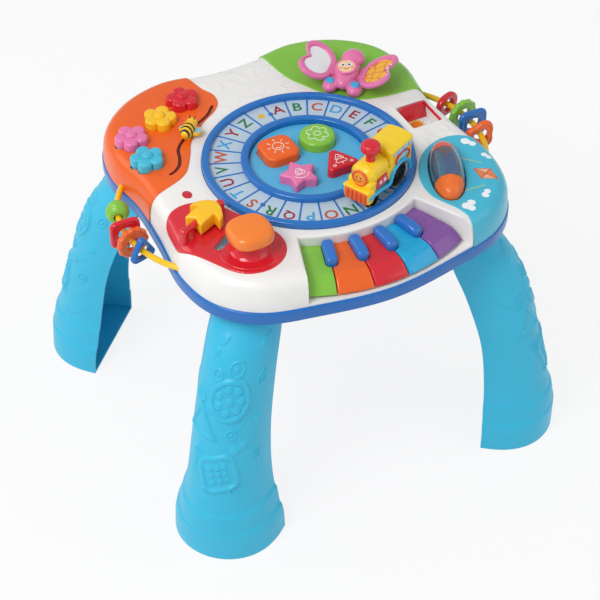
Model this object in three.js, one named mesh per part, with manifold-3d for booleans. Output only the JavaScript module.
// Musical activity table: a lobed tabletop on four clip-in legs, with a letter dial that a small
// train runs round, a five-key keyboard, flower and shape buttons, a slider, a knob with a picture
// disc, a clear roller, a flap, a pair of flapping wings and beads on two side loops.
// Millimetres, +Z up, -Y is the keyboard side. All plan places are measured from the dial's centre.

import * as THREE from 'three';
import { mergeVertices } from 'three/addons/utils/BufferGeometryUtils.js';
import Module from 'manifold-3d';

const wasm = await Module();
wasm.setup();

// Clearances shared by all pieces
const GAP = 0.3;
const RUNNING_GAP = 0.6;
const OVERRUN = 40;

// Tabletop outline and levels
const TRACK_LEVEL = 410;
const TABLE_HALF_WIDTH = 229;
const TABLE_FRONT = 230;
const TABLE_BACK = 246;
const RIM_HEIGHT = 16;
const SHOULDER_DROP = 41;
const SHOULDER_RUN = 27;
const RIM_SETBACK = 3;
const SKIN_DEPTH = 2.6;
const SKIN_PROUD = 1.5;
const SHELL_WALL = 2.4;
const OUTLINE_STEPS = 48;
const TABLE_OUTLINE_SHARES = [
  [0, -1], [0.415, -0.943], [0.742, -0.852], [0.93, -0.674], [1, -0.413], [0.969, -0.022], [0.956, 0.252],
  [0.991, 0.528], [0.926, 0.78], [0.721, 0.963], [0.437, 1.045], [0.175, 1.012], [0, 1],
];
const SHOULDER_SHARES = [[0, 1], [0.04, 0.6], [0.2, 0.25], [0.5, 0.06], [1, 0]];

// Base tray under the tabletop
const TRAY_DEPTH = 25;
const TRAY_WALL = 3;
const TRAY_BOTTOM_INSET = 14;
const TRAY_EDGE_DROP = 3;
const TRAY_EDGE_INSET = 3;

// Letter dial and centre disc
const DIAL_RADIUS = 140;
const DIAL_OUTER_RIM = 10;
const DIAL_INNER_RIM = 10.7;
const CENTRE_DISC_RADIUS = 77.7;
const DIAL_RIM_RISE = 7.5;
const DIAL_RIM_SIDE_SHARE = 0.45;
const DIAL_RIM_SLOPE_SHARE = 0.25;
const DIAL_DEPTH = 8;
const DIAL_PLATE = 2.5;
const DIAL_LEDGE = 4;
const DIAL_CELLS = 27;
const DIVIDER_WIDTH = 1.8;
const DIVIDER_RISE = 0.6;
const DIAL_STUD_RADIUS = 3.2;
const DIAL_STUD_RISE = 2;
const DIAL_STUD_CELLS = [0, 9, 18];
const CENTRE_DISC_THICKNESS = 3;
const CENTRE_DISC_DROP = 1;
const DIAL_SEAT_WIDTH = 7;
const DIAL_SEAT_THICKNESS = 3;

// Buttons: retaining flanges and outlines
const BUTTON_RISE = 13;
const BUTTON_FLANGE = 1.5;
const BUTTON_FLANGE_THICKNESS = 3;
const BUTTON_EDGE = 3;
const SHAPE_BUTTON_SIZE = 24;
const SQUARE_CORNER_SHARE = 0.55;
const STAR_SIZE = 28.5;
const STAR_POINTS = 5;
const STAR_WAIST_SHARE = 0.56;
const STAR_CORNER_SHARE = 0.1;
const TRIANGLE_SIZE = 31;
const TRIANGLE_CORNER_SHARE = 0.2;
const SQUARE_PLACE_SHARES = [-0.129, 0.12];
const CIRCLE_PLACE_SHARES = [0.124, 0.122];
const STAR_PLACE_SHARES = [-0.129, -0.133];
const TRIANGLE_PLACE_SHARES = [0.127, -0.139];
const FLOWER_RADIUS = 22.5;
const FLOWER_PETALS = 5;
const PETAL_STEPS = 5;
const PETAL_WAIST_SHARE = 0.7;
const PETAL_SWELL_POWER = 0.6;
const FLOWER_RISE = 13;
const FLOWER_DOME = 3;
const FLOWER_DOME_SHARE = 0.32;
const FLOWER_STEM_RADIUS = 7;
const FLOWER_FLANGE = 3;
const FLOWER_SKIRT_SINK = 0.5;
const FLOWERS = [
  { name: 'flower_button_red', colour: 0xd81f2e, placeShares: [-0.411, 0.756], turn: 0.2 },
  { name: 'flower_button_yellow', colour: 0xfcc21c, placeShares: [-0.607, 0.655], turn: 0.9 },
  { name: 'flower_button_pink', colour: 0xe070a8, placeShares: [-0.828, 0.569], turn: 0.5 },
  { name: 'flower_button_aqua', colour: 0x35b8dc, placeShares: [-0.826, 0.367], turn: 0.3 },
];

// Lobe covers and the knob panel, each a skin over the shoulder of the top shell
const COVER_REACH_SHARE = 1.4;
const DIAL_CLEARANCE = 3.5;
const COVER_STEPS = 22;
const ORANGE_EDGE_SHARES = [
  [-0.288, 1.3], [-0.288, 1.065], [-0.25, 0.83], [-0.214, 0.748], [-0.227, 0.668], [-0.279, 0.61],
  [-0.349, 0.567], [-0.424, 0.516], [-0.485, 0.463], [-0.533, 0.407], [-0.574, 0.333], [-0.62, 0.26],
  [-0.668, 0.199], [-0.734, 0.159], [-0.817, 0.13], [-0.895, 0.11], [-1.07, 0.098], [-1.35, 0.098],
];
const GREEN_EDGE_SHARES = [
  [0.21, 1.3], [0.21, 1.065], [0.227, 0.833], [0.24, 0.752], [0.262, 0.675], [0.297, 0.61], [0.345, 0.52],
  [0.4, 0.44], [0.46, 0.38], [0.54, 0.334], [0.65, 0.303], [0.75, 0.291], [0.85, 0.289], [1.07, 0.293],
  [1.35, 0.293],
];
const AQUA_EDGE_SHARES = [
  [1.35, -0.24], [1.07, -0.24], [0.93, -0.23], [0.86, -0.196], [0.786, -0.18], [0.699, -0.196],
  [0.611, -0.243], [0.533, -0.326], [0.48, -0.422], [0.454, -0.522], [0.459, -0.613], [0.489, -0.683],
  [0.524, -0.752], [0.55, -0.835], [0.555, -0.922], [0.533, -1.087], [0.533, -1.35],
];
const PANEL_RADIUS = 46.5;
const PANEL_UPPER_SHARES = [-0.803, -0.235];
const PANEL_LOWER_SHARES = [-0.642, -0.539];

// Knob on the panel, with the picture disc that it turns below the window
const KNOB_RADIUS = 28;
const KNOB_SQUARENESS = 2.7;
const KNOB_HEIGHT = 18;
const KNOB_EDGE = 6;
const KNOB_CROWN_SHARE = 0.3;
const KNOB_LIFT = 1.5;
const PEDESTAL_HEIGHT = 17;
const PEDESTAL_FOOT_RADIUS = 22;
const PEDESTAL_TOP_RADIUS = 17;
const PANEL_GROOVE_RADIUS = 38;
const PANEL_GROOVE_WIDTH = 1.6;
const PANEL_GROOVE_DEPTH = 0.9;
const KNOB_STEM_RADIUS = 5;
const PICTURE_DISC_RADIUS = 44;
const PICTURE_DISC_THICKNESS = 1.6;
const PICTURE_DISC_DROP = 7;
const WINDOW_LENGTH = 44;
const WINDOW_WIDTH = 10;
const WINDOW_LENS_THICKNESS = 1.8;
const WINDOW_DISTANCE = 35;
const WINDOW_BEARING = 2.15;

// Arrow slider on its fixed shaft
const SHAFT_START_SHARES = [-0.93, -0.317];
const SHAFT_BEARING = 0.436;
const SHAFT_RADIUS = 4.6;
const SHAFT_HEIGHT = 13;
const SHAFT_POST_RADIUS = 6;
const ARROW_START = 17;
const ARROW_LENGTH = 47;
const SHAFT_LENGTH = ARROW_START + ARROW_LENGTH + SHAFT_POST_RADIUS + GAP;
const ARROW_BODY_HALF_WIDTH = 13;
const ARROW_BARB_HALF_WIDTH = 26;
const ARROW_THICKNESS = 20;
const ARROW_CROWN = 31;
const ARROW_CROWN_HEIGHT = 11.1;
const ARROW_OUTLINE_SHARES = [
  [0, 0.5], [0.14, 0], [0, -0.5], [0.58, -0.5], [0.48, -1], [0.7, -0.86], [0.9, -0.45], [1, 0],
  [0.9, 0.45], [0.7, 0.86], [0.48, 1], [0.58, 0.5],
];

// Curved slot and the slider that runs over it
const SLOT_WIDTH = 4.6;
const SLOT_EDGE_SHARES = [
  [-0.755, 0.22], [-0.72, 0.232], [-0.677, 0.268], [-0.646, 0.325], [-0.624, 0.386], [-0.585, 0.431],
  [-0.507, 0.488], [-0.428, 0.545], [-0.384, 0.565], [-0.328, 0.598], [-0.271, 0.654],
];
const SLIDER_PLACE_SHARES = [-0.507, 0.484];
const SLIDER_BEARING = 0.767;
const SLIDER_LENGTH = 38;
const SLIDER_WIDTH = 19;
const SLIDER_HEIGHT = 18;
const SLIDER_FOOT = 2;
const SLIDER_HEAD_RADIUS = 8.5;
const SLIDER_WING_LENGTH = 13;
const SLIDER_WING_WIDTH = 7;
const SLIDER_WING_REACH = 6.5;

// Indicator lens in the deck
const INDICATOR_PLACE_SHARES = [-0.747, 0.033];
const INDICATOR_RADIUS = 6.5;
const INDICATOR_LENGTH_SHARE = 1.25;
const INDICATOR_RISE = 1.2;
const INDICATOR_DEPTH = 4;

// Keyboard: keys in a fan that slopes down to the front
const FAN_CENTRE = 25;
const KEY_COUNT = 5;
const KEY_ANGLE = 11.2;
const KEYBOARD_CLEARANCE = 12;
const KEYBOARD_SETBACK = 5;
const KEY_BACK_RADIUS = DIAL_RADIUS + FAN_CENTRE + KEYBOARD_CLEARANCE;
const KEY_FRONT_RADIUS = TABLE_FRONT + FAN_CENTRE - KEYBOARD_SETBACK;
const KEY_SPLIT = 1.2;
const KEY_BOTTOM_DROP = 34;
const WELL_FLOOR_DROP = 38.2;
const WELL_MARGIN = 1.4;
const KEY_PROFILE_SHARES = [
  [0, 1], [0, 0.06], [0.05, 0], [0.6, 0.26], [0.72, 0.34], [0.9, 0.64], [0.97, 0.8], [1, 1],
];
const KEY_TOP_DROP = 14;
const SMALL_KEY_LENGTH_SHARE = 0.52;
const SMALL_KEY_LENGTH = (KEY_FRONT_RADIUS - KEY_BACK_RADIUS) * SMALL_KEY_LENGTH_SHARE;
const SMALL_KEY_WIDTH = 15;
const SMALL_KEY_TOP_DROP = 4;
const SMALL_KEY_EDGE = 2;
const SMALL_KEY_PROFILE_SHARES = [
  [0, 1], [0, 0.04], [0.1, 0], [0.72, 0.14], [0.92, 0.36], [1, 0.62], [1, 1],
];
const KEYS = [
  { name: 'key_green', colour: 0x86c63e },
  { name: 'key_orange', colour: 0xee7722 },
  { name: 'key_red', colour: 0xd81f2e },
  { name: 'key_cyan', colour: 0x12a7d8 },
  { name: 'key_purple', colour: 0x8a56a8 },
];

// Clear roller with coloured caps in the turquoise cover
const ROLLER_PLACE_SHARES = [0.633, -0.467];
const ROLLER_BEARING = 1.159;
const ROLLER_LENGTH = 111;
const ROLLER_RADIUS = 22;
const ROLLER_RISE = 3;
const ROLLER_WALL = 1.6;
const ROLLER_CAP_SHARE = 0.2;
const ROLLER_SPIGOT_SHARE = 0.8;
const ROLLER_SPINDLE_RADIUS = 3;
const ROLLER_VANE_THICKNESS = 2;
const ROLLER_TRUNNION_LENGTH = 5;
const ROLLER_TRUNNION_RADIUS = 3.5;
const ROLLER_BAY_MARGIN = 2;
const ROLLER_END_POWER = 0.42;

// Recess with a flap on the right
const RECESS_PLACE_SHARES = [0.775, 0.081];
const RECESS_WIDTH = 45;
const RECESS_LENGTH = 50;
const RECESS_DEPTH = 25;
const FLAP_THICKNESS = 2.4;
const FLAP_SIDE_GAP = 1.5;
const FLAP_PIN_RADIUS = 2.2;
const FLAP_CORNER = 7;
const FLAP_LEAN = 0.12;

// Winged figure on the green cover
const FIGURE_DISTANCE = 178;
const FIGURE_BEARING = 0.785;
const FIGURE_HALF_WIDTH = 15;
const FIGURE_HALF_LENGTH = 34;
const FIGURE_HEIGHT = 32;
const FIGURE_HEAD_RADIUS = 18;
const FIGURE_TAIL_RADIUS = 17;
const FIGURE_FOOT_RADIUS = 12.5;
const FIGURE_FOOT_SPREAD = 17;
const FIGURE_FOOT_REACH = 24;
const TORSO_LEVEL_SHARE = 0.4;
const TORSO_HEIGHT_SHARE = 0.45;
const HEAD_ALONG_SHARE = -0.15;
const HEAD_LEVEL_SHARE = 0.55;
const HEAD_STRETCH_SHARES = [1, 0.95, 0.8];
const TAIL_ALONG_SHARE = 0.8;
const TAIL_LEVEL_SHARE = 0.62;
const TAIL_STRETCH_SHARES = [1.05, 0.95, 0.8];
const FOOT_LEVEL_SHARE = 0.55;
const FOOT_STRETCH_SHARES = [1.15, 0.9, 0.8];
const WING_HINGE_HEIGHT = 14;
const WING_KNUCKLE_RADIUS = 3.5;
const WING_KNUCKLE_LENGTH = 24;
const WING_LUG = 4;
const WING_SPAN = 74;
const WING_DEPTH = 50;
const WING_THICKNESS = 6;
const WING_REST_TILT = 0.436;
const WING_WINDOW_SHARE = 0.74;
const WING_MIDDLE_SHARE = 0.52;
const WING_WINDOW_DEPTH = 2;
const WING_OUTLINE_SHARES = [
  [-0.16, 0.02], [-0.36, 0.16], [-0.49, 0.44], [-0.47, 0.76], [-0.32, 0.96], [-0.13, 0.94], [0, 0.82],
  [0.13, 0.94], [0.32, 1], [0.48, 0.8], [0.5, 0.48], [0.38, 0.18], [0.16, 0.02],
];

// Side loops and their beads
const LOOP_RADIUS = 140;
const LOOP_CENTRE_SHARES = [0.507, 0.049];
const LOOP_ROD_RADIUS = 4.2;
const LOOP_DROP = 36;
const LOOP_FRONT_ANGLE = -0.75;
const LOOP_BACK_ANGLE = 0.79;
const LOOP_SEAT_ANGLE = 0.09;
const LOOP_STEPS = 14;
const LOOP_SIDES = 8;
const BEAD_BORE = 9;
const BEAD_RADIUS = 23;
const BEAD_THICKNESS = 9;
const BEAD_SQUARE_SHARE = 1.8;
const BEAD_CORNER_SHARE = 0.35;
const BEAD_TRIANGLE_SHARE = 1.15;
const BEAD_DOME_SHARE = 0.7;
const BEAD_DOME_SPREAD_SHARE = 0.2;
const BEAD_SCALLOPS = 12;
const BEAD_SCALLOP_SHARE = 0.035;
const BEAD_LOBES = 3;
const BEAD_LOBE_SHARE = 0.14;
const BEAD_LOBE_STEPS = 8;
const BARREL_RADIUS = 15.5;
const BARREL_LENGTH = 24;
const BARREL_BORE = 6;
const BARREL_RIBS = 3;
const BARREL_RIB_DEPTH = 1.1;
const BARREL_SWELL_SHARE = 0.55;
const BEADS = [
  { name: 'left_bead_green', side: -1, angle: 0.335, kind: 'barrel', colour: 0x7cc242 },
  { name: 'left_bead_red', side: -1, angle: 0.03, kind: 'square', colour: 0xd81f2e },
  { name: 'left_bead_orange', side: -1, angle: -0.122, kind: 'scallop', colour: 0xf5822a },
  { name: 'left_bead_blue', side: -1, angle: -0.274, kind: 'triangle', colour: 0x1f62b8 },
  { name: 'right_bead_red', side: 1, angle: 0.36, kind: 'dome', colour: 0xd81f2e },
  { name: 'right_bead_green', side: 1, angle: 0.14, kind: 'scallop', colour: 0x7cc242 },
  { name: 'right_bead_blue', side: 1, angle: -0.03, kind: 'square', colour: 0x1f62b8 },
  { name: 'right_bead_orange', side: 1, angle: -0.22, kind: 'lobes', colour: 0xf5822a },
];

// Train on the dial's track
const TRAIN_TRACK_RADIUS = 106;
const TRAIN_BEARING = -1.117;
const TRAIN_LIFT = 0.9;
const TRAIN_FRONT = 46;
const TRAIN_BACK = 54;
const TRAIN_CAB_FRONT = 8;
const TRAIN_HALF_WIDTH = 20.5;
const TRAIN_CHASSIS_HALF_WIDTH = 10.5;
const TRAIN_DECK = 24;
const TRAIN_ROOF = 68;
const TRAIN_ROOF_THICKNESS = 4;
const TRAIN_ROOF_OVERHANG = 2;
const TRAIN_BOILER_RADIUS = 18.5;
const TRAIN_BOILER_LEVEL = 43;
const TRAIN_BOILER_FRONT = 36;
const TRAIN_BUMPER_LENGTH = 15;
const TRAIN_BUMPER_BOTTOM = 10;
const TRAIN_BUMPER_TOP = 30;
const TRAIN_GRILLE_THICKNESS = 2;
const TRAIN_GRILLE_INSET = 3;
const TRAIN_GRILLE_BARS = 5;
const TRAIN_GRILLE_BAR_SHARE = 0.72;
const TRAIN_LAMP_RADIUS = 11;
const TRAIN_LAMP_THICKNESS = 2.5;
const TRAIN_WINDOW_INSET = 1.5;
const TRAIN_WINDOW_HALF_LENGTH = 15;
const TRAIN_WINDOW_HALF_HEIGHT = 8;
const TRAIN_BAND_THICKNESS = 4.5;
const TRAIN_BAND_HALF_WIDTH = 22;
const REAR_WHEEL_RADIUS = 17;
const FRONT_WHEEL_RADIUS = 9;
const WHEEL_PLACE = 26.5;
const WHEEL_WIDTH = 5;
const WHEEL_OUTER_FACE = 17;
const WHEEL_CLEARANCE = 1.6;
const WHEEL_HUB_SHARE = 0.42;
const WHEEL_DISH_SHARE = 0.72;
const WHEEL_DISH_DEPTH = 1;
const AXLE_RADIUS = 2.2;
const AXLE_CLEARANCE = 0.35;
const CHIMNEY_PLACE = 14;
const CHIMNEY_STEM_RADIUS = 6;
const CHIMNEY_CAP_RADIUS = 13;
const CHIMNEY_HEIGHT = 24;
const CHIMNEY_CAP_SHARE = 0.55;
const CHIMNEY_CAP_SHARES = [[0.82, 0], [1, 0.25], [1, 0.55], [0.8, 0.88], [0, 1]];

// Legs: open D-section shells that clip into sockets in the tray
const LEG_SOCKET_DEPTH = 18;
const LEG_SOCKET_WALL = 2.4;
const LEG_WALL = 3;
const LEG_TOP_INNER = 186;
const LEG_REACH = 161;
const LEG_HALF_WIDTH = 70;
const LEG_BEND_STEPS = 4;
const SOLE_THICKNESS = 3;
const FOOT_STEP = 2;
const FOOT_STEP_RISE = 13;
const LEG_RIB_THICKNESS = 2.4;
const LEG_RIB_DEPTH_SHARE = 0.18;
const LEG_RIB_LEVEL_SHARE = 0.52;
const LEG_BULGE_POWER = 0.8;
const REAR_LOBE_SHIFT = 22;
const REAR_FOOT_SHIFT = 16;
const LEG_STATION_SHARES = [
  { level: 1, inner: 0, outer: 0.373, width: 0.63 },
  { level: 0.86, inner: 0.11, outer: 0.57, width: 0.65 },
  { level: 0.72, inner: 0.24, outer: 0.7, width: 0.67 },
  { level: 0.5, inner: 0.39, outer: 0.83, width: 0.71 },
  { level: 0.32, inner: 0.44, outer: 0.92, width: 0.77 },
  { level: 0.16, inner: 0.46, outer: 1, width: 0.9 },
];
const LEG_LOW_SHARES = { level: 0.08, inner: 0.47, outer: 1, width: 0.98 };
const LEG_FOOT_SHARES = { level: 0, inner: 0.475, outer: 1, width: 1 };
const LEGS = [
  { name: 'leg_front_left', bearing: -2.443, rear: false },
  { name: 'leg_front_right', bearing: -0.698, rear: false },
  { name: 'leg_rear_right', bearing: 0.785, rear: true },
  { name: 'leg_rear_left', bearing: 2.356, rear: true },
];

// Battery bay, speaker and grille slots in the tray's floor
const BATTERY_DOOR_WIDTH = 92;
const BATTERY_DOOR_LENGTH = 58;
const BATTERY_DOOR_THICKNESS = 2.4;
const BATTERY_BAY_WALL = 2;
const BATTERY_BAY_HEIGHT = 13;
const BATTERY_PLACE_SHARES = [0, 0.34];
const BATTERY_LIP = 2;
const SPEAKER_RADIUS = 25;
const SPEAKER_HEIGHT = 12;
const SPEAKER_PROFILE_SHARES = [
  [0, 1], [0.4, 1], [0.4, 0.55], [1, 0.2], [1, 0], [0.9, 0], [0.3, 0.3], [0, 0.3],
];
const SPEAKER_PLACE_SHARES = [0, -0.26];
const SPEAKER_SLOTS = 5;
const SPEAKER_SLOT_PITCH = 7;
const SPEAKER_SLOT_WIDTH = 3;

// Levels that follow from the sizes above
const DECK_LEVEL = TRACK_LEVEL;
const COVER_LEVEL = DECK_LEVEL + SKIN_PROUD;
const DECK_UNDERSIDE = DECK_LEVEL - SKIN_DEPTH - SHELL_WALL;
const RIM_LEVEL = DECK_LEVEL - SHOULDER_DROP;
const RIM_BOTTOM = RIM_LEVEL - RIM_HEIGHT;
const TRAY_BOTTOM = RIM_LEVEL - TRAY_DEPTH;
const TRAY_FLOOR = TRAY_BOTTOM + TRAY_WALL;
const DEGREE = Math.PI / 180;

// Solids from three.js geometries, joined and cut as manifolds

function toSolid(geometry) {
  const bare = geometry.clone();
  for (const name of Object.keys(bare.attributes)) {
    if (name !== 'position') bare.deleteAttribute(name);
  }
  const merged = mergeVertices(bare);
  const vertProperties = new Float32Array(merged.attributes.position.array);
  const triVerts = new Uint32Array(merged.index.array);
  const solid = new wasm.Manifold(new wasm.Mesh({ numProp: 3, vertProperties, triVerts }));
  if (solid.volume() > 0) return solid;
  for (let i = 0; i < triVerts.length; i += 3) {
    [triVerts[i + 1], triVerts[i + 2]] = [triVerts[i + 2], triVerts[i + 1]];
  }
  return new wasm.Manifold(new wasm.Mesh({ numProp: 3, vertProperties, triVerts }));
}

function toGeometry(solid) {
  const mesh = solid.getMesh();
  const geometry = new THREE.BufferGeometry();
  geometry.setAttribute('position', new THREE.BufferAttribute(mesh.vertProperties, 3));
  geometry.setIndex(new THREE.BufferAttribute(mesh.triVerts, 1));
  geometry.computeVertexNormals();
  return geometry;
}

function join(solids) {
  return solids.reduce((sum, solid) => sum.add(solid));
}

function placed(solid, x, y, z, turn = 0) {
  const matrix = new THREE.Matrix4().makeRotationZ(turn);
  matrix.setPosition(x, y, z);
  return solid.transform(matrix.elements);
}

function tilted(solid, axis, angle) {
  const matrix = new THREE.Matrix4().makeRotationAxis(axis, angle);
  return solid.transform(matrix.elements);
}

function shapeOf(points) {
  return new THREE.Shape(points.map(([x, y]) => new THREE.Vector2(x, y)));
}

// A straight prism on a plan outline between two levels
function prism(points, bottom, top) {
  const geometry = new THREE.ExtrudeGeometry(shapeOf(points), { depth: top - bottom, bevelEnabled: false });
  return toSolid(geometry.translate(0, 0, bottom));
}

// A prism whose top edge is drawn in by an edge size, and whose bottom stays square
function crownedPrism(points, bottom, top, edge) {
  const ring = (inset, level) => insetOutline(points, inset).map(([x, y]) => [x, y, level]);
  return loft([ring(0, bottom), ring(0, top - edge), ring(edge, top)]);
}

function box(width, depth, height, x, y, z) {
  return toSolid(new THREE.BoxGeometry(width, depth, height).translate(x, y, z));
}

// A cylinder along Z between two levels
function post(radius, bottom, top, sides = 24, topRadius = radius) {
  const geometry = new THREE.CylinderGeometry(topRadius, radius, top - bottom, sides);
  geometry.rotateX(Math.PI / 2);
  return toSolid(geometry.translate(0, 0, (top + bottom) / 2));
}

function ball(radius, x, y, z, stretch = [1, 1, 1], columns = 12, rows = 6) {
  const geometry = new THREE.SphereGeometry(radius, columns, rows);
  geometry.scale(...stretch);
  return toSolid(geometry.translate(x, y, z));
}

// A ring or a turned piece about Z from a closed profile of radius and level
function turned(profile, segments) {
  const points = [...profile, profile[0]].map(([r, z]) => new THREE.Vector2(r, z));
  return toSolid(new THREE.LatheGeometry(points, segments).rotateX(Math.PI / 2));
}

// A solid through rings of equal point counts, closed by flat caps
function loft(given) {
  const flatArea = THREE.ShapeUtils.area(given[0].map(([x, y]) => new THREE.Vector2(x, y)));
  const rings = flatArea > 0 ? given : given.map((ring) => [...ring].reverse());
  const count = rings[0].length;
  const positions = rings.flat().flat();
  const index = [];
  for (let ring = 0; ring < rings.length - 1; ring += 1) {
    for (let i = 0; i < count; i += 1) {
      const next = (i + 1) % count;
      const low = ring * count;
      const high = low + count;
      index.push(low + i, low + next, high + next, low + i, high + next, high + i);
    }
  }
  const last = (rings.length - 1) * count;
  for (const [base, ring, flip] of [[0, rings[0], true], [last, rings[rings.length - 1], false]]) {
    const flat = ring.map(([x, y]) => new THREE.Vector2(x, y));
    for (const [a, b, c] of THREE.ShapeUtils.triangulateShape(flat, [])) {
      if (flip) index.push(base + a, base + c, base + b);
      else index.push(base + a, base + b, base + c);
    }
  }
  const geometry = new THREE.BufferGeometry();
  geometry.setAttribute('position', new THREE.Float32BufferAttribute(positions, 3));
  geometry.setIndex(index);
  return toSolid(geometry);
}

// Plan outlines

function plan([xShare, yShare]) {
  return [xShare * TABLE_HALF_WIDTH, yShare * (yShare < 0 ? TABLE_FRONT : TABLE_BACK)];
}

function splinePoints(points, steps, closed) {
  const knots = points.map(([x, y]) => new THREE.Vector3(x, y, 0));
  const curve = new THREE.CatmullRomCurve3(knots, closed, 'centripetal');
  const sampled = curve.getSpacedPoints(steps).map((p) => [p.x, p.y]);
  return closed ? sampled.slice(0, -1) : sampled;
}

function tableOutline() {
  const right = TABLE_OUTLINE_SHARES.map(plan);
  const left = right.slice(1, -1).reverse().map(([x, y]) => [-x, y]);
  return splinePoints([...right, ...left], OUTLINE_STEPS, true);
}

// The outline moved inwards along its own normals
function insetOutline(points, inset) {
  const area = THREE.ShapeUtils.area(points.map(([x, y]) => new THREE.Vector2(x, y)));
  const shift = area > 0 ? inset : -inset;
  return points.map(([x, y], i) => {
    const [ax, ay] = points[(i + points.length - 1) % points.length];
    const [bx, by] = points[(i + 1) % points.length];
    const length = Math.hypot(bx - ax, by - ay);
    return [x - (shift * (by - ay)) / length, y + (shift * (bx - ax)) / length];
  });
}

const TABLE_OUTLINE = tableOutline();

// The rounded deck body, drawn in by an inset all round and lowered by a drop on top
function deckBody(inset, drop, bottom = RIM_LEVEL + GAP) {
  const ring = (run, level) => {
    return insetOutline(TABLE_OUTLINE, inset + run * SHOULDER_RUN).map(([x, y]) => [x, y, level]);
  };
  const rings = SHOULDER_SHARES.map(([run, fall], i) => {
    return ring(run, i === 0 ? RIM_LEVEL + GAP : DECK_LEVEL - drop - fall * SHOULDER_DROP);
  });
  if (bottom < RIM_LEVEL + GAP) rings.unshift(ring(0, bottom));
  return loft(rings);
}

function circlePoints(radius, count) {
  return Array.from({ length: count }, (_, i) => {
    const angle = (2 * Math.PI * i) / count;
    return [radius * Math.cos(angle), radius * Math.sin(angle)];
  });
}

// Corners of a regular or given polygon rounded by a radius of arc
function roundedPolygon(corners, radius, steps = 4) {
  const points = [];
  corners.forEach((corner, i) => {
    const here = new THREE.Vector2(...corner);
    const last = corners[(i + corners.length - 1) % corners.length];
    const next = corners[(i + 1) % corners.length];
    const before = new THREE.Vector2(...last).sub(here).normalize();
    const after = new THREE.Vector2(...next).sub(here).normalize();
    const half = Math.acos(THREE.MathUtils.clamp(before.dot(after), -1, 1)) / 2;
    const middle = before.clone().add(after).normalize().multiplyScalar(radius / Math.sin(half)).add(here);
    const start = before.clone().multiplyScalar(radius / Math.tan(half)).add(here).sub(middle);
    const end = after.clone().multiplyScalar(radius / Math.tan(half)).add(here).sub(middle);
    let sweep = end.angle() - start.angle();
    if (sweep > Math.PI) sweep -= 2 * Math.PI;
    if (sweep < -Math.PI) sweep += 2 * Math.PI;
    for (let step = 0; step <= steps; step += 1) {
      const angle = start.angle() + (sweep * step) / steps;
      points.push([middle.x + radius * Math.cos(angle), middle.y + radius * Math.sin(angle)]);
    }
  });
  return points;
}

function rectangle(width, length) {
  const [x, y] = [width / 2, length / 2];
  return [[-x, -y], [x, -y], [x, y], [-x, y]];
}

// A stadium between two points
function stadium([ax, ay], [bx, by], radius, steps = 12) {
  const bearing = Math.atan2(by - ay, bx - ax);
  const points = [];
  for (const [x, y, start] of [[bx, by, bearing - Math.PI / 2], [ax, ay, bearing + Math.PI / 2]]) {
    for (let step = 0; step <= steps; step += 1) {
      const angle = start + (Math.PI * step) / steps;
      points.push([x + radius * Math.cos(angle), y + radius * Math.sin(angle)]);
    }
  }
  return points;
}

function flowerPoints(radius, turn, margin = 0) {
  const count = FLOWER_PETALS * PETAL_STEPS;
  return Array.from({ length: count }, (_, i) => {
    const angle = (2 * Math.PI * i) / count;
    const wave = Math.abs(Math.cos((FLOWER_PETALS * angle) / 2));
    const swell = (1 - PETAL_WAIST_SHARE) * Math.pow(wave, PETAL_SWELL_POWER);
    const reach = radius * (PETAL_WAIST_SHARE + swell) + margin;
    return [reach * Math.cos(angle + turn), reach * Math.sin(angle + turn)];
  });
}

function starPoints(radius, margin = 0) {
  const corners = Array.from({ length: 2 * STAR_POINTS }, (_, i) => {
    const angle = Math.PI / 2 + (Math.PI * i) / STAR_POINTS;
    const reach = (i % 2 === 0 ? radius : radius * STAR_WAIST_SHARE) + margin;
    return [reach * Math.cos(angle), reach * Math.sin(angle)];
  });
  return roundedPolygon(corners, radius * STAR_CORNER_SHARE, 1);
}

function trianglePoints(radius, margin = 0) {
  const corners = circlePoints(radius + 2 * margin, 3).map(([x, y]) => [-y, x]);
  return roundedPolygon(corners, radius * TRIANGLE_CORNER_SHARE, 5);
}

function squarePoints(size, margin = 0) {
  const width = 2 * (size + margin);
  return roundedPolygon(rectangle(width, width), size * SQUARE_CORNER_SHARE, 4);
}

const SHAPE_BUTTONS = [
  {
    name: 'square_button',
    colour: 0xf5822a,
    placeShares: SQUARE_PLACE_SHARES,
    outline: (margin) => squarePoints(SHAPE_BUTTON_SIZE, margin),
  },
  {
    name: 'circle_button',
    colour: 0x86c63e,
    placeShares: CIRCLE_PLACE_SHARES,
    outline: (margin) => circlePoints(SHAPE_BUTTON_SIZE + margin, 24),
  },
  {
    name: 'star_button',
    colour: 0xe070a8,
    placeShares: STAR_PLACE_SHARES,
    outline: (margin) => starPoints(STAR_SIZE, margin),
  },
  {
    name: 'triangle_button',
    colour: 0xd81f2e,
    placeShares: TRIANGLE_PLACE_SHARES,
    outline: (margin) => trianglePoints(TRIANGLE_SIZE, margin),
  },
];

// Regions that the coloured skins take from the deck

function coverRegion(edgeShares, corners) {
  const edge = splinePoints(edgeShares.map(plan), COVER_STEPS, false);
  const reach = corners.map(([x, y]) => plan([x * COVER_REACH_SHARE, y * COVER_REACH_SHARE]));
  return [...edge, ...reach];
}

const REGIONS = {
  orange_cover: coverRegion(ORANGE_EDGE_SHARES, [[-1, 1]]),
  green_cover: coverRegion(GREEN_EDGE_SHARES, [[1, 1]]),
  aqua_cover: coverRegion(AQUA_EDGE_SHARES, [[1, -1]]),
  red_panel: stadium(plan(PANEL_UPPER_SHARES), plan(PANEL_LOWER_SHARES), PANEL_RADIUS),
};

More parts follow.
